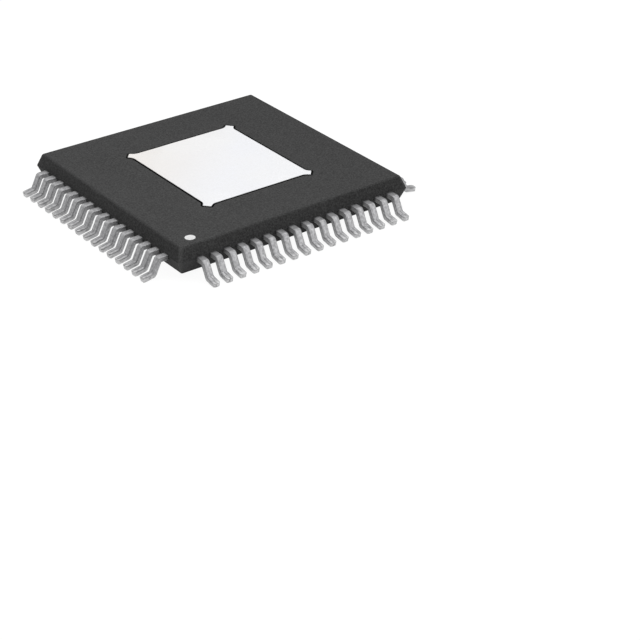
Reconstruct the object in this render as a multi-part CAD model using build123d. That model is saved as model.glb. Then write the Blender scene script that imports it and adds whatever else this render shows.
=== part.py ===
from build123d import *

import math
import os

# A quad flat pack chip with its thermal pad on top. Millimetres, +Z up.
# The origin is at the middle of the seating plane, on which the feet of the leads stand.
# Pin one is the left-most lead of the front (-Y) side, beside the white mark.

# Lead rows
leads_per_side = 16
lead_pitch = 0.8
lead_width = 0.39
strip_thickness = 0.26
end_margin = 1.2
lead_reach = 1.5
shoulder_reach = 0.48
foot_run = 0.65
foot_angle = 9.8
outer_bend_radius = 0.22
anchor_depth = 0.35
finger_tip_width = 0.22
finger_pad_gap = 0.45
finger_corner_inset = 0.225

# Moulded body
standoff = 0.28
lower_height = 0.76
upper_height = 0.71
draft_angle = 20.4
corner_facet = 0.1
soft_edge = 0.06
lead_below_parting = 0.065

# Thermal pad and its tie bars
pad_width = 6.55
pad_length = 7.6
pad_proud = 0.02
ear_width = 0.48
ear_reach = 0.08
ear_root_flare = 0.08
tie_bar_width = 0.3
tie_bar_slope = 45
tie_bar_cover = 0.5

# Die, its attach layer and the bond wires
die_size = 4.6
die_thickness = 0.28
attach_thickness = 0.03
attach_margin = 0.1
bond_pad_pitch = 0.25
bond_pad_inset = 0.15
wire_size = 0.03
wire_depth = 0.22
stitch_inset = 0.2

# Pin-one mark
mark_diameter = 0.55
mark_depth = 0.03
mark_inset_x = 1.0
mark_inset_y = 0.67

# Levels above the seating plane
parting_z = standoff + lower_height
top_z = parting_z + upper_height
lead_z = parting_z - lead_below_parting
finger_top_z = lead_z + strip_thickness / 2
finger_bottom_z = lead_z - strip_thickness / 2
pad_top_z = top_z + pad_proud
pad_bottom_z = pad_top_z - strip_thickness
die_top_z = pad_bottom_z - attach_thickness
die_face_z = die_top_z - die_thickness

# Places that follow from the sizes above
row_half = (leads_per_side - 1) * lead_pitch / 2
body_half = row_half + end_margin
top_half = body_half - upper_height * math.tan(math.radians(draft_angle))
anchor_s = body_half - anchor_depth
tip_s = body_half + lead_reach
foot_tip_z = strip_thickness / 2 * math.cos(math.radians(foot_angle))
heel_s = tip_s - foot_run
heel_z = foot_tip_z + foot_run * math.tan(math.radians(foot_angle))


def drafted_half(height, direction):
    """One half of the body: it narrows away from the parting plane, and its corners are slightly broken."""
    outline = Plane.XY.offset(parting_z) * Rectangle(2 * body_half, 2 * body_half)
    half = extrude(outline, amount=height, dir=(0, 0, direction), taper=draft_angle)
    corners = half.edges().filter_by(Plane.XY, reverse=True)
    return chamfer(corners, corner_facet)


def mould_block():
    """The body before anything is bedded in it: two drafted halves that meet at the parting plane."""
    block = drafted_half(upper_height, 1) + drafted_half(lower_height, -1)
    rims = block.edges().group_by(Axis.Z)
    return chamfer(rims[0] + rims[-1], soft_edge)


def strip_profile(*points):
    """The side view of a strip that follows a line of points, with square ends and mitred bends."""
    middle = Polyline(*points)
    above, below = [
        make_face(offset(middle, amount=strip_thickness / 2, kind=Kind.INTERSECTION, side=side).edges())
        for side in (Side.LEFT, Side.RIGHT)
    ]
    return above + below


def formed_strip():
    """The part of a lead from its anchor out to the foot: a gull wing that points along -Y at x = 0."""
    bend = Vector(body_half + shoulder_reach, lead_z)
    heel = Vector(heel_s, heel_z)
    profile = strip_profile((anchor_s, lead_z), bend, heel, (tip_s, foot_tip_z))
    outside_bend = profile.vertices().filter_by(lambda v: v.Y > lead_z).sort_by_distance(bend)[0]
    outside_heel = profile.vertices().filter_by(lambda v: v.Y < heel_z).sort_by_distance(heel)[0]
    profile = fillet([outside_bend, outside_heel], outer_bend_radius)
    side_view = Plane(origin=(0, 0, 0), x_dir=(0, -1, 0), z_dir=(-1, 0, 0))
    return extrude(side_view * profile, amount=lead_width / 2, both=True)


def place_in_row(index):
    """Where a lead's middle lies along its row at the body's wall."""
    return index * lead_pitch - row_half


def place_at_tip(index, pad_side):
    """Where a finger's tip lies along its row, spread along the side of the pad that it faces."""
    return place_in_row(index) / row_half * (pad_side / 2 - finger_corner_inset)


def finger(index, pad_side, finger_tip_s):
    """The inner end of a lead: it narrows from the anchor to its tip beside the pad."""
    at_wall = place_in_row(index)
    at_tip = place_at_tip(index, pad_side)
    plan = Polyline(
        (at_wall - lead_width / 2, -anchor_s),
        (at_wall + lead_width / 2, -anchor_s),
        (at_tip + finger_tip_width / 2, -finger_tip_s),
        (at_tip - finger_tip_width / 2, -finger_tip_s),
        close=True,
    )
    return extrude(Plane.XY.offset(finger_bottom_z) * make_face(plan), amount=strip_thickness)


def lead_row(pad_side, finger_tip_s):
    """The leads of the front row, each one solid from its finger to its foot."""
    strip = formed_strip()
    return [
        Pos(place_in_row(index), 0, 0) * strip + finger(index, pad_side, finger_tip_s)
        for index in range(leads_per_side)
    ]


def bond_wire(index, pad_side, finger_tip_s):
    """A wire of the front row: straight down from the die, then a long rise to the finger's underside."""
    along = (finger_tip_s + stitch_inset - anchor_s) / (finger_tip_s - anchor_s)
    at_wall = place_in_row(index)
    at_tip = place_at_tip(index, pad_side)
    stitch = Vector(at_wall + (at_tip - at_wall) * along, -finger_tip_s - stitch_inset, 0)
    start = Vector((index - (leads_per_side - 1) / 2) * bond_pad_pitch, bond_pad_inset - die_size / 2, 0)
    run = stitch - start
    half = wire_size / 2
    loop_z = finger_bottom_z - wire_depth
    slope = wire_depth / run.length
    half_rise = half * math.hypot(1, slope)
    outline = Polyline(
        (-half, die_face_z),
        (-half, loop_z - slope * half - half_rise),
        (run.length + half_rise / slope, finger_bottom_z),
        (run.length - half_rise / slope, finger_bottom_z),
        (half, loop_z + slope * half + half_rise),
        (half, die_face_z),
        close=True,
    )
    side_view = Plane(origin=start, x_dir=run, z_dir=run.cross(Vector(0, 0, 1)))
    return extrude(side_view * make_face(outline), amount=half, both=True)


def wire_row(pad_side, finger_tip_s):
    """The wires of the front row."""
    return [bond_wire(index, pad_side, finger_tip_s) for index in range(leads_per_side)]


def turned(pieces, angle):
    """The same pieces on another side of the chip."""
    return [Rot(0, 0, angle) * piece for piece in pieces]


def corner_signs():
    """The four corners of the pad, as signs of X and Y."""
    return [(1, 1), (-1, 1), (-1, -1), (1, -1)]


def tie_bar_frame(sign_x, sign_y):
    """A pad corner, with the direction from it to the body's corner and the distance between them."""
    corner = Vector(sign_x * pad_width / 2, sign_y * pad_length / 2, 0)
    run = Vector(sign_x * body_half, sign_y * body_half, 0) - corner
    return corner, run.normalized(), run.length


def ear(corner, heading):
    """The square-ended ear at a pad corner, seen from above."""
    ear_length = ear_reach + ear_width
    middle = corner + heading * (ear_reach - ear_length / 2)
    angle = math.degrees(math.atan2(heading.Y, heading.X))
    return Pos(middle.X, middle.Y, 0) * Rot(0, 0, angle) * Rectangle(ear_length, ear_width)


def tie_bar(corner, heading, distance):
    """A tie bar: it dips from the ear's end to the level of the leads and runs on towards the corner."""
    pad_z = pad_bottom_z + strip_thickness / 2
    start = ear_reach - strip_thickness / 2
    foot = start + (pad_z - lead_z) / math.tan(math.radians(tie_bar_slope))
    profile = strip_profile((start, pad_z), (foot, lead_z), (distance - tie_bar_cover, lead_z))
    side_view = Plane(origin=corner, x_dir=heading, z_dir=heading.cross(Vector(0, 0, 1)))
    return extrude(side_view * profile, amount=tie_bar_width / 2, both=True)


def thermal_pad():
    """The stamped pad with its four ears and tie bars, one piece."""
    frames = [tie_bar_frame(sign_x, sign_y) for sign_x, sign_y in corner_signs()]
    plan = Rectangle(pad_width, pad_length)
    for corner, heading, _ in frames:
        plan += ear(corner, heading)
    corner_distance = math.hypot(pad_width, pad_length) / 2
    roots = plan.vertices().filter_by(lambda v: math.hypot(v.X, v.Y) < corner_distance)
    plan = chamfer(roots, ear_root_flare)
    pad = extrude(Plane.XY.offset(pad_bottom_z) * plan, amount=strip_thickness)
    for corner, heading, distance in frames:
        pad += tie_bar(corner, heading, distance)
    return pad


def slab(side, bottom_z, thickness):
    """A square layer centred on the chip."""
    return extrude(Plane.XY.offset(bottom_z) * Rectangle(side, side), amount=thickness)


def pin_one_mark():
    """The disc that fills the dimple beside pin one, flush with the top."""
    plane = Plane(origin=(mark_inset_x - top_half, mark_inset_y - top_half, top_z - mark_depth))
    return extrude(plane * Circle(mark_diameter / 2), amount=mark_depth)


def all_parts():
    """Every node by name; the body is cut to the shape of all that is bedded in it."""
    y_row = (pad_width, pad_length / 2 + finger_pad_gap)
    x_row = (pad_length, pad_width / 2 + finger_pad_gap)
    y_leads = lead_row(*y_row)
    x_leads = lead_row(*x_row)
    y_wires = wire_row(*y_row)
    x_wires = wire_row(*x_row)
    wires = y_wires + turned(x_wires, 90) + turned(y_wires, 180) + turned(x_wires, 270)
    bedded = {
        "leads_front": y_leads,
        "leads_right": turned(x_leads, 90),
        "leads_back": turned(y_leads, 180),
        "leads_left": turned(x_leads, 270),
        "thermal_pad": [thermal_pad()],
        "die_attach": [slab(die_size + 2 * attach_margin, die_top_z, attach_thickness)],
        "die": [slab(die_size, die_face_z, die_thickness)],
        "bond_wires": wires,
        "pin_one_mark": [pin_one_mark()],
    }
    tools = [solid for pieces in bedded.values() for piece in pieces for solid in piece.solids()]
    body = mould_block().cut(*tools)
    return {"mould_body": [body], **bedded}


os.makedirs("parts", exist_ok=True)
for name, pieces in all_parts().items():
    solids = [solid for piece in pieces for solid in piece.solids()]
    export_step(solids[0] if len(solids) == 1 else Compound(solids), f"parts/{name}.step")
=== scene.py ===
import math
import random

import bmesh
import bpy
from mathutils import Matrix, Vector


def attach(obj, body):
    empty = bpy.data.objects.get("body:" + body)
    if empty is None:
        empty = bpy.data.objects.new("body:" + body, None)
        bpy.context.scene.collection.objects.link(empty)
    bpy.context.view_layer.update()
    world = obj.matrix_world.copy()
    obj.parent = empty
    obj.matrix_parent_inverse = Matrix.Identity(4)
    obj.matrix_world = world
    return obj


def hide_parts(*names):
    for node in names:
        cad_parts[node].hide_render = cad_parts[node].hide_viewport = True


# The looks of a quad flat pack chip with its thermal pad on top.
# Lengths in this script are millimetres; they become metres as each mesh is made.

MM = 0.001

# Sizes repeated from the CAD source
LEADS_PER_SIDE = 16
LEAD_PITCH = 0.8
LEAD_WIDTH = 0.39
STRIP_THICKNESS = 0.26
LEAD_Z = 0.975
BEND_S = 7.68
HEEL_S = 8.05
TIP_S = 8.7
FOOT_ANGLE = math.radians(9.8)
OUTER_BEND_RADIUS = 0.22
ANCHOR_S = 6.85
FINGER_TIP_WIDTH = 0.22
FINGER_PAD_GAP = 0.45
FINGER_CORNER_INSET = 0.225
BODY_HALF = 7.2
BOTTOM_Z = 0.28
PARTING_Z = 1.04
TOP_Z = 1.75
DRAFT = math.radians(20.4)
PAD_WIDTH = 6.55
PAD_LENGTH = 7.6
PAD_TOP_Z = 1.77
EAR_WIDTH = 0.48
EAR_REACH = 0.08
TIE_BAR_WIDTH = 0.3
TIE_BAR_COVER = 0.5
MARK_DIAMETER = 0.55
MARK_DEPTH = 0.03
MARK_INSET_X = 1.0
MARK_INSET_Y = 0.67

# Finer detail than the CAD solids carry
BODY_CORNER_RADIUS = 0.08
TOP_RIM_RADIUS = 0.16
BOTTOM_RIM_RADIUS = 0.045
PARTING_RADIUS = 0.03
PAD_LIP_RADIUS = 0.015
DIMPLE_LIP_RADIUS = 0.012
STRIP_EDGE_RADIUS = 0.04
STRIP_TIP_RADIUS = 0.04
LEAD_TIP_CORNER = 0.1
INNER_BEND_RADIUS = 0.04
PAD_EDGE_RADIUS = 0.035
PAD_EDGE_SPACING = 0.3
PAD_SEAM = 0.1
EAR_ROOT_RADIUS = 0.5
EAR_END_RADIUS = 0.05
TIE_BAR_OUTER_BEND = 0.06
TIE_BAR_INNER_BEND = 0.03
TIE_BAR_SINK = 0.01
INK_DISH = 0.014
INK_RIM_DEPTH = 0.003

# Small differences from one lead to the next, and along the edge of the pad
FOOT_SHORTENING = 0.012
LEAD_WANDER = 0.006
PAD_EDGE_WANDER = (-0.010, 0.006)
PATTERN_RANGE = 400
END_PATTERN_OFFSET = 1
LEAD_SEED = 100
PAD_SEED = 11

# Levels in a strip's "place" layer: 0 to 1 is the height on its sides
END_LEVEL = 1.5
CROWN_LEVEL = 2

ROW_HALF = (LEADS_PER_SIDE - 1) * LEAD_PITCH / 2
TOP_HALF = BODY_HALF - (TOP_Z - PARTING_Z) * math.tan(DRAFT)
BOTTOM_HALF = BODY_HALF - (PARTING_Z - BOTTOM_Z) * math.tan(DRAFT)
PAD_BOTTOM_Z = PAD_TOP_Z - STRIP_THICKNESS
TIP_Z = STRIP_THICKNESS / 2 * math.cos(FOOT_ANGLE)
HEEL_Z = TIP_Z + (TIP_S - HEEL_S) * math.tan(FOOT_ANGLE)
MARK_X = MARK_INSET_X - TOP_HALF
MARK_Y = MARK_INSET_Y - TOP_HALF

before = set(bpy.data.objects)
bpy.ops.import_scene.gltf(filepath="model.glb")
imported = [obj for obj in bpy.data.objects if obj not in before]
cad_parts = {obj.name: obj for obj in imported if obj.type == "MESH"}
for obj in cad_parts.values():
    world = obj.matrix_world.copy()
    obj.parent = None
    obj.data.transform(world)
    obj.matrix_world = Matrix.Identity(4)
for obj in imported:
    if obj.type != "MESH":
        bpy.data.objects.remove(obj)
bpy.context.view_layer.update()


# Mesh helpers

def make_piece(name, bm):
    """Turns a bmesh in millimetres into a smooth-shaded object in metres."""
    bmesh.ops.recalc_face_normals(bm, faces=bm.faces[:])
    bmesh.ops.scale(bm, vec=(MM, MM, MM), verts=bm.verts[:])
    mesh = bpy.data.meshes.new(name)
    bm.to_mesh(mesh)
    bm.free()
    mesh.polygons.foreach_set("use_smooth", [True] * len(mesh.polygons))
    piece = bpy.data.objects.new(name, mesh)
    bpy.context.scene.collection.objects.link(piece)
    normals = piece.modifiers.new("face_weighted_normals", "WEIGHTED_NORMAL")
    normals.mode = "FACE_AREA"
    normals.weight = 100
    return piece


def add_ring(bm, points):
    return [bm.verts.new(point) for point in points]


def bridge(bm, rings):
    """Joins rings of as many points, each to the next, with bands of quads."""
    for near, far in zip(rings, rings[1:]):
        for i in range(len(near)):
            j = (i + 1) % len(near)
            bm.faces.new((near[i], near[j], far[j], far[i]))


def fill_top(bm, rings):
    """Fills a level face between its outer ring and the holes in it."""
    edges = []
    for ring in rings:
        edges += [bm.edges.get((ring[i], ring[(i + 1) % len(ring)])) for i in range(len(ring))]
    bmesh.ops.triangle_fill(bm, use_beauty=True, edges=edges, normal=(0, 0, 1))


def left_of(way):
    return Vector((-way.y, way.x))


def quarter_turn(steps):
    """Angles from 0 to a right angle."""
    return [math.pi / 2 * k / steps for k in range(steps + 1)]


def corner_arc(corner, start, end, radius, steps):
    """Points that round a convex profile corner between two face normals, given as angles in radians."""
    middle = (start + end) / 2
    reach = radius / math.cos((start - end) / 2)
    centre = (corner[0] - reach * math.cos(middle), corner[1] - reach * math.sin(middle))
    angles = [start + (end - start) * k / steps for k in range(steps + 1)]
    return [(centre[0] + radius * math.cos(a), centre[1] + radius * math.sin(a)) for a in angles]


def rounded_outline(corners, steps):
    """A closed plan outline from (x, y, radius) corners, each rounded whichever way it turns."""
    points = []
    count = len(corners)
    for i, (x, y, radius) in enumerate(corners):
        here = Vector((x, y))
        before = (here - Vector(corners[i - 1][:2])).normalized()
        after = (Vector(corners[(i + 1) % count][:2]) - here).normalized()
        turn = math.atan2(before.cross(after), before.dot(after))
        start = here - before * radius * math.tan(abs(turn) / 2)
        centre = start + left_of(before) * radius * math.copysign(1, turn)
        spoke = start - centre
        for k in range(steps + 1):
            a = turn * k / steps
            points.append(centre + Vector((
                spoke.x * math.cos(a) - spoke.y * math.sin(a),
                spoke.x * math.sin(a) + spoke.y * math.cos(a),
            )))
    return points


def offset_outline(points, distance):
    """The outline moved outwards by a small distance, or inwards by a negative one."""
    moved = []
    count = len(points)
    for i, here in enumerate(points):
        before = (here - points[i - 1]).normalized()
        after = (points[(i + 1) % count] - here).normalized()
        out_before, out_after = -left_of(before), -left_of(after)
        moved.append(here + (out_before + out_after) * distance / (1 + out_before.dot(out_after)))
    return moved


def divided_outline(points, spacing):
    """The same outline with its long runs cut into short ones."""
    result = []
    count = len(points)
    for i, here in enumerate(points):
        run = points[(i + 1) % count] - here
        cuts = max(1, round(run.length / spacing))
        result += [here + run * k / cuts for k in range(cuts)]
    return result


def at_height(points, z):
    return [(point[0], point[1], z) for point in points]


# Moulded body

def rounded_square(half, radius, steps=8):
    corners = [(half, -half), (half, half), (-half, half), (-half, -half)]
    return rounded_outline([(x, y, radius) for x, y in corners], steps)


def circle(x, y, radius, steps=40):
    angles = [2 * math.pi * k / steps for k in range(steps)]
    return [Vector((x + radius * math.cos(a), y + radius * math.sin(a))) for a in angles]


def tie_bar_runs():
    """Each corner of the pad, and the way from there to the body's corner."""
    for sign_x, sign_y in ((1, 1), (-1, 1), (-1, -1), (1, -1)):
        corner = Vector((sign_x * PAD_WIDTH / 2, sign_y * PAD_LENGTH / 2))
        yield corner, Vector((sign_x * BODY_HALF, sign_y * BODY_HALF)) - corner


def pad_outline(steps=6):
    """The pad's plan: a rectangle with a square-ended ear at each corner."""
    corners = []
    for corner, run in tie_bar_runs():
        heading = run.normalized()
        across = left_of(heading) * EAR_WIDTH / 2
        ends = [corner + heading * EAR_REACH - across, corner + heading * EAR_REACH + across]
        roots = []
        for end in ends:
            to_side = (abs(end.x) - PAD_WIDTH / 2) / abs(heading.x)
            to_end = (abs(end.y) - PAD_LENGTH / 2) / abs(heading.y)
            roots.append(end - heading * max(to_side, to_end))
        corners += [
            (roots[0].x, roots[0].y, EAR_ROOT_RADIUS),
            (ends[0].x, ends[0].y, EAR_END_RADIUS),
            (ends[1].x, ends[1].y, EAR_END_RADIUS),
            (roots[1].x, roots[1].y, EAR_ROOT_RADIUS),
        ]
    return rounded_outline(corners, steps)


def sunk_recess(bm, outline, lip_radius, floor_z, steps=3):
    """A recess in the top face: a rounded lip, a wall and a floor. Returns its outer ring."""
    rings = []
    for a in quarter_turn(steps):
        grown = offset_outline(outline, lip_radius * (1 - math.sin(a)))
        rings.append(add_ring(bm, at_height(grown, TOP_Z - lip_radius * (1 - math.cos(a)))))
    rings.append(add_ring(bm, at_height(outline, floor_z)))
    bridge(bm, rings)
    bm.faces.new(rings[-1])
    return rings[0]


def make_body():
    """The moulded body: two drafted halves with softly rounded rims and corners, sunk for the pad and
    for the mark."""
    up, down = math.pi / 2, -math.pi / 2
    profile = corner_arc((TOP_HALF, TOP_Z), up, DRAFT, TOP_RIM_RADIUS, steps=8)
    profile += corner_arc((BODY_HALF, PARTING_Z), DRAFT, -DRAFT, PARTING_RADIUS, steps=4)
    profile += corner_arc((BOTTOM_HALF, BOTTOM_Z), -DRAFT, down, BOTTOM_RIM_RADIUS, steps=6)
    bm = bmesh.new()
    rings = [add_ring(bm, at_height(rounded_square(half, BODY_CORNER_RADIUS), z)) for half, z in profile]
    bridge(bm, rings)
    bm.faces.new(rings[-1])
    pad_hole = offset_outline(pad_outline(), PAD_SEAM)
    mark_hole = circle(MARK_X, MARK_Y, MARK_DIAMETER / 2)
    pad_ring = sunk_recess(bm, pad_hole, PAD_LIP_RADIUS, PAD_BOTTOM_Z)
    mark_ring = sunk_recess(bm, mark_hole, DIMPLE_LIP_RADIUS, TOP_Z - MARK_DEPTH)
    fill_top(bm, (rings[0], pad_ring, mark_ring))
    return make_piece("moulded_body", bm)


# Strips: leads and tie bars

def strip_stations(points, inner_radius, outer_radius, steps):
    """Pairs of (above, below) points along a bent strip, seen from the side, with its bends rounded."""
    points = [Vector(point) for point in points]
    half = STRIP_THICKNESS / 2

    def end_station(point, way):
        return point + left_of(way) * half, point - left_of(way) * half

    stations = [end_station(points[0], (points[1] - points[0]).normalized())]
    for i in range(1, len(points) - 1):
        before = (points[i] - points[i - 1]).normalized()
        after = (points[i + 1] - points[i]).normalized()
        turn = math.atan2(before.cross(after), before.dot(after))
        mitre = (left_of(before) + left_of(after)) * half / (1 + before.dot(after))
        arcs = []
        for corner, outside in ((points[i] + mitre, turn < 0), (points[i] - mitre, turn > 0)):
            radius = outer_radius if outside else inner_radius
            start = corner - before * radius * math.tan(abs(turn) / 2)
            first_spoke = left_of(before) * math.copysign(radius, -turn)
            arc = []
            for k in range(steps + 1):
                spoke = first_spoke.copy()
                spoke.rotate(Matrix.Rotation(turn * k / steps, 2))
                arc.append(start - first_spoke + spoke)
            arcs.append(arc)
        stations += list(zip(*arcs))
    stations.append(end_station(points[-1], (points[-1] - points[-2]).normalized()))
    return stations


def closed_ends(stations, corners, steps=6):
    """Adds to each end the stations of its rounded edge and corners; corners are the two ends' radii in plan.
    Gives (above, below, narrowing) at every station."""
    result = [(above, below, 0.0) for above, below in stations]
    for at_end, corner in enumerate(corners):
        (above, below), (near_above, near_below) = (
            (stations[-1], stations[-2]) if at_end else (stations[0], stations[1])
        )
        out = ((above + below) - (near_above + near_below)).normalized()
        up = (above - below).normalized()
        ending = []
        for a in quarter_turn(steps)[1:]:
            advance = corner * math.sin(a)
            into_edge = max(0.0, STRIP_TIP_RADIUS - corner + advance)
            thinning = STRIP_TIP_RADIUS - math.sqrt(STRIP_TIP_RADIUS ** 2 - into_edge ** 2)
            ending.append((
                above + out * advance - up * thinning,
                below + out * advance + up * thinning,
                corner * (1 - math.cos(a)),
            ))
        result = result + ending if at_end else ending[::-1] + result
    return result


def strip_section(above, below, centre, width, to_world, steps=5):
    """One ring of a strip: a rounded rectangle across it. to_world places (across, along, height).
    Also each point's level: its share of the height, or the crown's level in the middle of the upper face."""
    most_rounded = 0.45
    up = (above - below).normalized()
    thickness = (above - below).length
    radius = min(STRIP_EDGE_RADIUS, thickness * most_rounded, width * most_rounded)
    ring = []
    levels = []
    for corner in range(4):
        right = corner in (0, 3)
        top = corner in (0, 1)
        x = centre + (width / 2 - radius) * (1 if right else -1)
        foot = below + up * ((thickness - radius) if top else radius)
        for k in range(steps + 1):
            a = math.pi / 2 * (corner + k / steps)
            side = foot + up * radius * math.sin(a)
            ring.append(to_world(x + radius * math.cos(a), side.x, side.y))
            levels.append((side - below).dot(up) / thickness)
        if corner in (0, 2):
            face = above if top else below
            ring.append(to_world(centre, face.x, face.y))
            levels.append(CROWN_LEVEL if top else 0)
    return ring, levels


def strip_layers(bm):
    """Two coordinate layers: millimetres along and around a strip, and (millimetres from its tip, level)."""
    return bm.loops.layers.uv.new("strip"), bm.loops.layers.uv.new("place")


def add_strip(bm, layers, stations, place, to_world, shift):
    """Sweeps a rounded section along the stations. place(s) gives the strip's middle and width there.
    shift moves the pattern, so that no two leads look the same."""
    strip, place_layer = layers
    rings = []
    levels = []
    along = []
    length = 0
    previous = None
    for above, below, narrowing in stations:
        middle = (above + below) / 2
        if previous is not None:
            length += (middle - previous).length
        previous = middle
        centre, width = place(middle.x)
        section, section_levels = strip_section(above, below, centre, width - 2 * narrowing, to_world)
        rings.append(add_ring(bm, section))
        levels.append(section_levels)
        along.append(length)
    count = len(rings[0])
    across = count // 2 - 1  # the point of a ring that lies across the strip from its first one
    widest = max(rings, key=lambda ring: (ring[0].co - ring[across].co).length)
    around = [0]
    for i in range(count):
        around.append(around[-1] + (widest[(i + 1) % count].co - widest[i].co).length)
    for k in range(len(rings) - 1):
        for i in range(count):
            j = (i + 1) % count
            face = bm.faces.new((rings[k][i], rings[k][j], rings[k + 1][j], rings[k + 1][i]))
            corners = ((k, i, i), (k, j, i + 1), (k + 1, j, i + 1), (k + 1, i, i))
            for loop, (station, point, turn) in zip(face.loops, corners):
                loop[strip].uv = (along[station] + shift[0], around[turn] + shift[1])
                loop[place_layer].uv = (length - along[station], levels[station][point])
    for ring, u in ((rings[0], along[0]), (rings[-1], along[-1])):
        face = bm.faces.new(ring)
        middle = sum((vert.co for vert in ring), Vector()) / count
        for loop in face.loops:
            spoke = loop.vert.co - middle
            loop[strip].uv = (u + shift[0] + spoke.z, shift[1] - END_PATTERN_OFFSET + spoke.x + spoke.y)
            loop[place_layer].uv = (length - u, END_LEVEL)


def make_lead_row(name, angle, pad_side, finger_tip_s, seed):
    """Sixteen gull-wing leads with their inner fingers, on the side of the body that angle turns to."""
    chance = random.Random(seed)
    turn = Matrix.Rotation(math.radians(angle), 3, "Z")
    finger = Vector((finger_tip_s + STRIP_TIP_RADIUS, LEAD_Z))
    heel = Vector((HEEL_S, HEEL_Z))
    half = Vector((0, STRIP_THICKNESS / 2))
    bm = bmesh.new()
    layers = strip_layers(bm)

    def to_world(across, s, z):
        return turn @ Vector((across, -s, z))

    for index in range(LEADS_PER_SIDE):
        tip = Vector((TIP_S - chance.uniform(0, FOOT_SHORTENING), TIP_Z))
        end = tip - (tip - heel).normalized() * LEAD_TIP_CORNER
        path = [(ANCHOR_S, LEAD_Z), (BEND_S, LEAD_Z), heel, end]
        stations = strip_stations(path, INNER_BEND_RADIUS, OUTER_BEND_RADIUS, steps=8)
        stations.insert(0, (finger + half, finger - half))
        stations = closed_ends(stations, (STRIP_TIP_RADIUS, LEAD_TIP_CORNER))
        in_row = index * LEAD_PITCH - ROW_HALF
        at_wall = in_row + chance.uniform(-LEAD_WANDER, LEAD_WANDER)
        at_tip = in_row / ROW_HALF * (pad_side / 2 - FINGER_CORNER_INSET)

        def place(s):
            share = min(1.0, max(0.0, (s - finger_tip_s) / (ANCHOR_S - finger_tip_s)))
            middle = at_tip + (at_wall - at_tip) * share
            return middle, FINGER_TIP_WIDTH + (LEAD_WIDTH - FINGER_TIP_WIDTH) * share

        shift = (chance.uniform(0, PATTERN_RANGE), chance.uniform(0, PATTERN_RANGE))
        add_strip(bm, layers, stations, place, to_world, shift)
    return make_piece(name, bm)


# Thermal pad

def uneven(outline, seed):
    """The outline moved in and out a little, at random but smoothly."""
    chance = random.Random(seed)
    wander = [chance.uniform(*PAD_EDGE_WANDER) for _ in outline]
    count = len(wander)
    smooth = [(wander[i - 1] + 2 * wander[i] + wander[(i + 1) % count]) / 4 for i in range(count)]
    swollen = offset_outline(outline, 1.0)
    return [here + (there - here) * amount for here, there, amount in zip(outline, swollen, smooth)]


def add_plate(bm, outline, steps=4):
    """The pad's plate, with rolled top edges."""
    rings = [add_ring(bm, at_height(outline, PAD_BOTTOM_Z))]
    for a in quarter_turn(steps):
        inset = PAD_EDGE_RADIUS * (1 - math.cos(a))
        z = PAD_TOP_Z - PAD_EDGE_RADIUS * (1 - math.sin(a))
        rings.append(add_ring(bm, at_height(offset_outline(outline, -inset), z)))
    bridge(bm, rings)
    bm.faces.new(rings[0])
    fill_top(bm, rings[-1:])


def add_tie_bar(bm, layers, corner, run):
    """The bar that runs from under an ear towards the body's corner, a little below the plate's top."""
    heading = run.normalized()
    pad_z = PAD_BOTTOM_Z + STRIP_THICKNESS / 2
    start = EAR_REACH - STRIP_THICKNESS
    bend = start + STRIP_THICKNESS / 2
    foot = bend + (pad_z - LEAD_Z)
    end = run.length - TIE_BAR_COVER - STRIP_TIP_RADIUS
    path = [(start, pad_z), (bend, pad_z), (foot, LEAD_Z), (end, LEAD_Z)]
    stations = strip_stations(path, TIE_BAR_INNER_BEND, TIE_BAR_OUTER_BEND, steps=3)
    stations = closed_ends(stations, (STRIP_TIP_RADIUS, STRIP_TIP_RADIUS))

    def to_world(across, s, z):
        spot = corner + heading * s + left_of(heading) * across
        return Vector((spot.x, spot.y, z - TIE_BAR_SINK if z > PAD_BOTTOM_Z else z))

    add_strip(bm, layers, stations, lambda s: (0, TIE_BAR_WIDTH), to_world, (0, 0))


def make_pad():
    """The stamped pad: the plate and the tie bar under each ear."""
    bm = bmesh.new()
    layers = strip_layers(bm)
    add_plate(bm, uneven(divided_outline(pad_outline(), PAD_EDGE_SPACING), PAD_SEED))
    for corner, run in tie_bar_runs():
        add_tie_bar(bm, layers, corner, run)
    return make_piece("thermal_pad_plate", bm)


# Pin-one mark

def make_mark(steps=9):
    """The ink in the dimple: a thin disc, a little dished, that climbs slightly at its rim."""
    bm = bmesh.new()
    rim = MARK_DIAMETER / 2
    rings = [add_ring(bm, at_height(circle(MARK_X, MARK_Y, rim), TOP_Z - MARK_DEPTH))]
    for k in range(steps):
        share = 1 - k / steps
        depth = INK_DISH * (1 - share ** 4) + INK_RIM_DEPTH
        rings.append(add_ring(bm, at_height(circle(MARK_X, MARK_Y, rim * share), TOP_Z - depth)))
    bridge(bm, rings)
    bm.faces.new(rings[0])
    bm.faces.new(rings[-1])
    return make_piece("pin_one_ink", bm)


# Node trees

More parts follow.
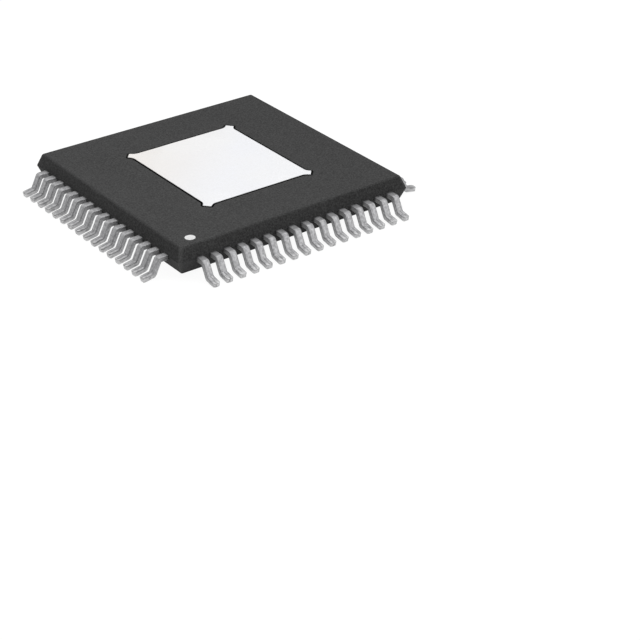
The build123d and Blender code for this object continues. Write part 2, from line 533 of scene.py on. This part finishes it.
class Nodes:
    """A node tree with short ways to add the nodes that the looks here are made of."""

    def __init__(self, tree):
        self.tree = tree

    def add(self, kind, inputs, **settings):
        """A new node. An input that is an output of another node is linked; any other is a value."""
        node = self.tree.nodes.new(kind)
        for key, value in settings.items():
            setattr(node, key, value)
        self.fill(node, inputs)
        return node

    def fill(self, node, inputs):
        for key, value in inputs.items():
            if isinstance(value, bpy.types.NodeSocket):
                self.tree.links.new(value, node.inputs[key])
            else:
                node.inputs[key].default_value = value

    def coordinates(self, kind):
        return self.add("ShaderNodeTexCoord", {}).outputs[kind]

    def uv_map(self, name):
        return self.add("ShaderNodeUVMap", {}, uv_map=name).outputs["UV"]

    def stretched(self, vector, scale):
        """Coordinates multiplied by a different factor on each axis."""
        return self.add("ShaderNodeMapping", {"Vector": vector, "Scale": scale}).outputs["Vector"]

    def axes(self, vector):
        return self.add("ShaderNodeSeparateXYZ", {0: vector}).outputs

    def along(self, vector, way):
        """How far a vector reaches along another one."""
        return self.add("ShaderNodeVectorMath", {0: vector, 1: way}, operation="DOT_PRODUCT").outputs["Value"]

    def noise(self, vector, scale, detail=3.0, roughness=0.55):
        inputs = {"Vector": vector, "Scale": scale, "Detail": detail, "Roughness": roughness}
        return self.add("ShaderNodeTexNoise", inputs).outputs["Fac"]

    def spread(self, value, low, high, to_low=0.0, to_high=1.0, curve="LINEAR"):
        """Maps a range of a value onto another."""
        inputs = {"Value": value, "From Min": low, "From Max": high, "To Min": to_low, "To Max": to_high}
        return self.add("ShaderNodeMapRange", inputs, interpolation_type=curve).outputs["Result"]

    def zone(self, length, low, high, to_low=0.0, to_high=1.0):
        """Maps a range of a length, whose limits are given in millimetres."""
        return self.spread(length, low * MM, high * MM, to_low, to_high)

    def math(self, operation, one, two):
        return self.add("ShaderNodeMath", {0: one, 1: two}, operation=operation).outputs[0]

    def product(self, one, two):
        return self.math("MULTIPLY", one, two)

    def absolute(self, value):
        return self.add("ShaderNodeMath", {0: value}, operation="ABSOLUTE").outputs[0]

    def blend(self, factor, one, two):
        """A colour mix. Each colour is an output or three numbers; the factor is an output or a number."""
        one, two = (color if isinstance(color, bpy.types.NodeSocket) else (*color, 1) for color in (one, two))
        return self.add("ShaderNodeMix", {0: factor, 6: one, 7: two}, data_type="RGBA").outputs[2]

    def bump(self, height, distance, strength, under=None):
        inputs = {"Height": height, "Distance": distance, "Strength": strength}
        if under is not None:
            inputs["Normal"] = under
        return self.add("ShaderNodeBump", inputs).outputs["Normal"]


class Look(Nodes):
    """The nodes of a new material that has the principled shader."""

    def __init__(self, name):
        self.material = bpy.data.materials.new(name)
        self.material.use_nodes = True
        super().__init__(self.material.node_tree)

    def finish(self, color, roughness, normal, metallic=0.0, specular=0.5):
        self.fill(self.tree.nodes["Principled BSDF"], {
            "Base Color": color,
            "Roughness": roughness,
            "Normal": normal,
            "Metallic": metallic,
            "Specular IOR Level": specular,
        })
        return self.material


def grey(value):
    return value, value, value


def cool_grey(value):
    return value, value, value + 0.005


BLACK = grey(0.0)


# Materials
# Noise scales are per metre of an object and per millimetre of a strip. Bump distances are metres.

def mould_material():
    """Black moulding compound: a fine matt grain and faint pale filler specks. Light and shade are painted
    into
    its colour: it is a little paler towards its left side, as painted light, and paler at the vertical
    corners, as a painted highlight. The upper slopes are a little darker, as painted shade. The lower slopes
    carry painted shade on the left and right and painted light in front and behind. The walls of the seam
    round the pad are painted darkest, as shade."""
    n = Look("mould")
    place = n.coordinates("Object")
    x, y, z = n.axes(place)
    to_side, to_end = n.absolute(x), n.absolute(y)
    grain = n.noise(place, 11000, roughness=0.65)
    cloud = n.noise(place, 420)
    speck = n.noise(place, 26000, detail=0.0)

    clouded = n.spread(cloud, 0.35, 0.65)
    # Painted light: the colour is paler towards the left side, as if more light fell there.
    right = n.blend(clouded, (0.0405, 0.0405, 0.0407), (0.0455, 0.0455, 0.0457))
    left = n.blend(clouded, (0.0535, 0.0535, 0.0537), (0.0595, 0.0595, 0.0597))
    color = n.blend(n.zone(n.along(place, (-0.92, -0.38, 0)), -6.0, 8.0), right, left)

    at_parting = (PARTING_Z - 0.02, PARTING_Z + 0.02)
    above_parting = n.zone(z, *at_parting)
    below_parting = n.zone(z, *at_parting, 1.0, 0.0)
    # Painted shade: the upper slopes are darkened, as if less lit than the top.
    painted_upper_slope_shade = n.zone(z, TOP_Z - 0.09, TOP_Z - 0.01, 0.31, 0.0)
    color = n.blend(n.product(above_parting, painted_upper_slope_shade), color, BLACK)
    # Painted shade on the lower slopes at the left and right, and painted light on those in front and behind.
    on_side = n.math("SUBTRACT", to_side, to_end)
    color = n.blend(n.product(below_parting, n.zone(on_side, -0.3, 0.3, 0.0, 0.2)), color, BLACK)
    color = n.blend(n.product(below_parting, n.zone(on_side, -0.3, 0.3, 0.2, 0.0)), color, grey(0.1))

    # Painted highlight: the vertical corners are made paler, as if they caught the light.
    off_parting = n.absolute(n.math("SUBTRACT", z, PARTING_Z * MM))
    drawn_in = n.product(off_parting, 2 * math.tan(DRAFT))
    to_corner = n.math("ADD", n.math("ADD", to_side, to_end), drawn_in)
    painted_corner_highlight = n.zone(to_corner, 2 * BODY_HALF - 0.22, 2 * BODY_HALF - 0.06, 0.0, 0.75)
    color = n.blend(painted_corner_highlight, color, grey(0.1))

    dark, pale = n.blend(0.4, color, BLACK), n.blend(0.4, color, grey(0.09))
    color = n.blend(n.spread(grain, 0.36, 0.64), dark, pale)
    color = n.blend(n.spread(speck, 0.68, 0.74, 0.0, 0.35), color, grey(0.12))
    # Painted shade: the walls of the seam round the pad are darkened towards black.
    painted_seam_shade = n.zone(n.math("MAXIMUM", to_side, to_end), 4.8, 5.0, 0.45, 0.0)
    under_top = n.zone(z, TOP_Z - 0.0045, TOP_Z - 0.0015, 1.0, 0.0)
    color = n.blend(n.product(n.product(painted_seam_shade, above_parting), under_top), color, BLACK)

    roughness = n.spread(grain, 0.3, 0.7, 0.6, 0.75)
    normal = n.bump(grain, 0.000008, 0.7, under=n.bump(cloud, 0.00001, 0.25))
    return n.finish(color, roughness, normal, specular=0.1)


def tin_material(name, painted_side_shade, painted_side_light, lines, painted_strip_shade, painted_edge_shade, painted_tip_highlight, shade_from):
    """Matt tin plating on the leads: mottled crystals, drawn streaks, thin dark lines along the edges.
    The next arguments paint shade and light onto the sheared sides, set the dark lines, and paint shade over
    the whole strip, each on the foot, the slope and the shoulder. Then come painted shade on the crown's
    edges and a painted highlight on the tips, and the distance from the tip at which a painted contact
    shadow, together with resin bleed, darkens the strip towards the mould.
    """
    # Distances from the tip
    tip, heel, upper_bend, wall = (0.06, 0.26), (0.6, 0.75), (1.35, 1.55), 1.95
    # The level at which the sides turn over into the crown
    upper_edge = 0.88
    n = Look(name)
    strip = n.uv_map("strip")
    from_tip, level, _ = n.axes(n.uv_map("place"))

    def by_place(on_foot, on_slope, on_shoulder):
        lower = n.spread(from_tip, *heel, on_foot, on_slope)
        upper = n.spread(from_tip, *upper_bend, 0.0, on_shoulder - on_slope)
        return n.math("ADD", lower, upper)

    streak = n.noise(n.stretched(strip, (1.5, 5.5, 1.0)), 1.6, roughness=0.6)
    mottle = n.noise(strip, 7.0, detail=4.0, roughness=0.65)
    crystal = n.noise(strip, 42.0, detail=2.0)

    color = n.blend(n.spread(mottle, 0.34, 0.66), (0.35, 0.35, 0.36), (0.68, 0.68, 0.69))
    # Painted shade over the whole strip, by an amount that differs on the foot, the slope and the shoulder.
    color = n.blend(by_place(*painted_strip_shade), color, cool_grey(0.12))
    # Painted shade on the lower part of the sides.
    low_side = n.spread(level, 0.2, 0.85, 1.0, 0.0)
    color = n.blend(n.product(low_side, by_place(*painted_side_shade)), color, cool_grey(0.12))
    # Painted light on the sides, in place of the light that neighbouring leads and the mould keep off.
    whole_side = n.spread(level, 0.7, 0.95, 1.0, 0.0)
    color = n.blend(n.product(whole_side, by_place(*painted_side_light)), color, grey(0.82))
    # Painted shade on the crown's edges, so the strip looks rounder.
    color = n.blend(n.spread(level, 1.0, 1.6, painted_edge_shade, 0.0), color, cool_grey(0.16))
    # Painted highlight near the tips.
    color = n.blend(n.spread(from_tip, *tip, painted_tip_highlight, 0.0), color, grey(0.85))
    # Painted contact shadow towards the mould, together with resin bleed.
    color = n.blend(n.spread(from_tip, shade_from, wall, 0.0, 0.85), color, grey(0.03))

    drawn = n.product(n.spread(streak, 0.5, 0.64, 0.0, 0.7), by_place(1.0, 0.4, 0.4))
    color = n.blend(drawn, color, cool_grey(0.17))
    off_edge = n.absolute(n.math("SUBTRACT", level, upper_edge))
    edge = n.product(n.spread(off_edge, 0.03, 0.12, 1.0, 0.0), by_place(*lines))
    middle = n.product(n.spread(level, 1.65, 1.88), by_place(0.6, 0.0, 0.0))
    dashes = n.noise(n.stretched(strip, (2.2, 5.0, 1.0)), 1.7, detail=2.0)
    dashed = n.product(n.math("MAXIMUM", edge, middle), n.spread(dashes, 0.4, 0.54, 0.3, 1.0))
    color = n.blend(dashed, color, cool_grey(0.1))

    roughness = n.spread(mottle, 0.3, 0.7, 0.5, 0.36)
    normal = n.bump(crystal, 0.000002, 0.35, under=n.bump(streak, 0.000006, 0.35))
    return n.finish(color, roughness, normal, metallic=0.5)


def pad_material():
    """Pale matt plating on the pad: a fine even grain, a little warmer at one corner, and sides painted
    near-black as shade in the seam round it.
    """
    n = Look("pad_plate")
    place = n.coordinates("Object")
    z = n.axes(place)["Z"]
    grain = n.noise(place, 15000)
    cloud = n.noise(place, 260)
    cool = n.zone(n.along(place, (0.707, -0.707, 0)), -4.5, 0.5)
    color = n.blend(cool, (0.862, 0.815, 0.765), (0.893, 0.902, 0.945))
    color = n.blend(n.spread(cloud, 0.36, 0.64, 0.0, 0.5), color, grey(0.93))
    color = n.blend(n.spread(grain, 0.3, 0.7, 0.0, 0.6), color, grey(0.81))
    # Painted shade: everything below the rolled top edge is near-black, to darken the seam round the pad.
    color = n.blend(n.zone(z, PAD_TOP_Z - 0.025, PAD_TOP_Z - 0.012, 1.0, 0.0), color, grey(0.01))
    roughness = n.spread(grain, 0.3, 0.7, 0.46, 0.58)
    normal = n.bump(grain, 0.000002, 0.3, under=n.bump(cloud, 0.00001, 0.2))
    return n.finish(color, roughness, normal, metallic=0.15, specular=0.25)


def ink_material():
    """Off-white ink with a faintly uneven film."""
    n = Look("ink")
    film = n.noise(n.coordinates("Object"), 5200)
    color = n.blend(n.spread(film, 0.35, 0.65), grey(0.71), (0.8, 0.8, 0.795))
    roughness = n.spread(film, 0.3, 0.7, 0.5, 0.65)
    return n.finish(color, roughness, n.bump(film, 0.000004, 0.4), specular=0.4)


def sealed_material(name, dark, light, scale, metallic, smooth, rough):
    """A material for a node that is sealed in the mould: two tones, mixed by noise."""
    n = Look(name)
    tone = n.noise(n.coordinates("Object"), scale, detail=4.0)
    color = n.blend(n.spread(tone, 0.3, 0.7), dark, light)
    roughness = n.spread(tone, 0.3, 0.7, smooth, rough)
    return n.finish(color, roughness, n.bump(tone, 0.000003, 0.3), metallic=metallic)


def dress(piece, material):
    piece.data.materials.clear()
    piece.data.materials.append(material)


# The object

# Two copies of the tin, which differ mostly in painted light and shade: the first for the front and back
# rows, the second for the left and right rows.
TIN = tin_material(
    "tin_plate",
    painted_side_shade=(0.0, 0.42, 0.0),
    painted_side_light=(0.3, 0.0, 0.5),
    lines=(0.4, 0.25, 0.0),
    painted_strip_shade=(0.1, 0.0, 0.5),
    painted_edge_shade=0.25,
    painted_tip_highlight=0.4,
    shade_from=1.78,
)
TIN_SHADED_FOR_SIDE_ROWS = tin_material(
    "tin_plate_side_row_shading",
    painted_side_shade=(0.0, 0.0, 0.45),
    painted_side_light=(0.45, 0.1, 0.1),
    lines=(0.55, 0.4, 0.1),
    painted_strip_shade=(0.25, 0.1, 0.3),
    painted_edge_shade=0.1,
    painted_tip_highlight=0.4,
    shade_from=1.86,
)

body = make_body()
dress(body, mould_material())
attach(body, "root")
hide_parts("mould_body")

pad = make_pad()
dress(pad, pad_material())
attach(pad, "root")
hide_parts("thermal_pad")

mark = make_mark()
dress(mark, ink_material())
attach(mark, "root")
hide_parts("pin_one_mark")

for side, angle, pad_side, pad_half, tin in (
    ("front", 0, PAD_WIDTH, PAD_LENGTH / 2, TIN),
    ("right", 90, PAD_LENGTH, PAD_WIDTH / 2, TIN_SHADED_FOR_SIDE_ROWS),
    ("back", 180, PAD_WIDTH, PAD_LENGTH / 2, TIN),
    ("left", 270, PAD_LENGTH, PAD_WIDTH / 2, TIN_SHADED_FOR_SIDE_ROWS),
):
    row = make_lead_row(f"lead_row_{side}", angle, pad_side, pad_half + FINGER_PAD_GAP, LEAD_SEED + angle)
    dress(row, tin)
    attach(row, "root")
    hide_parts(f"leads_{side}")

dress(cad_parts["die"], sealed_material(
    "silicon", dark=(0.12, 0.13, 0.16), light=(0.18, 0.19, 0.22),
    scale=9000, metallic=0.4, smooth=0.12, rough=0.2,
))
dress(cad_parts["die_attach"], sealed_material(
    "silver_epoxy", dark=(0.42, 0.42, 0.42), light=(0.56, 0.56, 0.55),
    scale=12000, metallic=0.5, smooth=0.45, rough=0.6,
))
dress(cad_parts["bond_wires"], sealed_material(
    "gold_wire", dark=(0.76, 0.55, 0.2), light=(0.86, 0.66, 0.3),
    scale=20000, metallic=1.0, smooth=0.18, rough=0.26,
))


# Floor, light and camera

FLOOR_HALF = 1500
FLOOR_MATT = 0.75
FLOOR_SHOWN = 0.1
FLOOR_GLOW = 0.94

LAMP_SIZE = (110, 90)
LAMP_PLACE = Vector((15, 25, 110))
LAMP_WATTS = 0.03

CAMERA_AZIMUTH = -36.680
CAMERA_ELEVATION = 29.972
CAMERA_ROLL = math.radians(-0.116)
PICTURE = 640
FOCAL = 1780.57
SENSOR = 36.0
TARGET = Vector((0, 0, PARTING_Z))
TARGET_PIXEL = (219.218, 176.107)
TARGET_DEPTH = 96.201
NEAREST = 2
FARTHEST = 10000


def direction(azimuth, elevation):
    """Towards the place at that azimuth and elevation, in degrees; azimuth 0 is in front of the object."""
    a, e = math.radians(azimuth), math.radians(elevation)
    return Vector((math.sin(a) * math.cos(e), -math.cos(a) * math.cos(e), math.sin(e)))


def make_floor():
    """A plain white floor. What the camera and reflections see of it is partly its own glow, so it stays
    white."""
    bm = bmesh.new()
    bmesh.ops.create_grid(bm, x_segments=2, y_segments=2, size=FLOOR_HALF)
    floor = make_piece("floor", bm)
    material = bpy.data.materials.new("floor")
    material.use_nodes = True
    material.node_tree.nodes.clear()
    n = Nodes(material.node_tree)

    def shader(kind, strength):
        return n.add(kind, {"Color": (*grey(strength), 1)}).outputs[0]

    rays = n.add("ShaderNodeLightPath", {}).outputs
    seen = n.math("MAXIMUM", rays["Is Camera Ray"], rays["Is Glossy Ray"])
    seen = n.math("MAXIMUM", seen, rays["Is Transmission Ray"])
    matt = shader("ShaderNodeBsdfDiffuse", FLOOR_MATT)
    shown = shader("ShaderNodeBsdfDiffuse", FLOOR_SHOWN)
    glow = shader("ShaderNodeEmission", FLOOR_GLOW)
    both = n.add("ShaderNodeAddShader", {0: shown, 1: glow}).outputs[0]
    mix = n.add("ShaderNodeMixShader", {"Fac": seen, 1: matt, 2: both}).outputs[0]
    n.add("ShaderNodeOutputMaterial", {"Surface": mix})
    dress(floor, material)


def make_light():
    """Soft studio light: a large lamp overhead and a pale surround, which is brighter overhead and to the
    right, brightest low down in front on the right, and dimmer behind the camera."""
    world = bpy.data.worlds.new("studio")
    world.use_nodes = True
    bpy.context.scene.world = world
    n = Nodes(world.node_tree)
    around = n.coordinates("Generated")

    def towards(way, low, high, to_low, to_high):
        """Strength that goes from to_low to to_high as the view turns to way, from cosine low to high."""
        return n.spread(n.along(around, way), low, high, to_low, to_high, "SMOOTHSTEP")

    overhead = towards((0, 0, 1), 0.1, 0.8, 0.45, 1.06)
    sideways = towards(direction(110, 0), -0.9, 0.9, 0.84, 1.06)
    highlight = towards(direction(40, 24), 0.8, 0.98, 1.0, 1.9)
    behind_camera = towards(direction(CAMERA_AZIMUTH, 32), 0.72, 0.96, 1.0, 0.35)
    strength = n.product(n.product(n.product(overhead, sideways), highlight), behind_camera)
    n.fill(world.node_tree.nodes["Background"], {"Color": (1, 1, 1, 1), "Strength": strength})

    lamp = bpy.data.lights.new("overhead", "AREA")
    lamp.shape = "RECTANGLE"
    lamp.size, lamp.size_y = (side * MM for side in LAMP_SIZE)
    lamp.energy = LAMP_WATTS
    holder = bpy.data.objects.new("overhead", lamp)
    facing = LAMP_PLACE.to_track_quat("Z", "Y").to_matrix().to_4x4()
    holder.matrix_world = Matrix.Translation(LAMP_PLACE * MM) @ facing
    bpy.context.scene.collection.objects.link(holder)


def make_camera():
    """The photograph's camera: its angles, its focal length, and the pixel and the depth at which it sees
    the chip's middle."""
    back = direction(CAMERA_AZIMUTH, CAMERA_ELEVATION)
    level_right = Vector((0, 0, 1)).cross(back).normalized()
    level_up = back.cross(level_right)
    right = level_right * math.cos(CAMERA_ROLL) + level_up * math.sin(CAMERA_ROLL)
    up = level_up * math.cos(CAMERA_ROLL) - level_right * math.sin(CAMERA_ROLL)
    across = (TARGET_PIXEL[0] - PICTURE / 2) / FOCAL * TARGET_DEPTH
    down = (TARGET_PIXEL[1] - PICTURE / 2) / FOCAL * TARGET_DEPTH
    place = TARGET - right * across + up * down + back * TARGET_DEPTH
    data = bpy.data.cameras.new("camera")
    data.sensor_width = SENSOR
    data.lens = FOCAL / PICTURE * SENSOR
    data.clip_start = NEAREST * MM
    data.clip_end = FARTHEST * MM
    camera = bpy.data.objects.new("camera", data)
    matrix = Matrix((right, up, back)).transposed().to_4x4()
    matrix.translation = place * MM
    camera.matrix_world = matrix
    bpy.context.scene.collection.objects.link(camera)
    bpy.context.scene.camera = camera


make_floor()
make_light()
make_camera()

bpy.context.view_layer.update()
bpy.context.scene.view_settings.view_transform = "Standard"
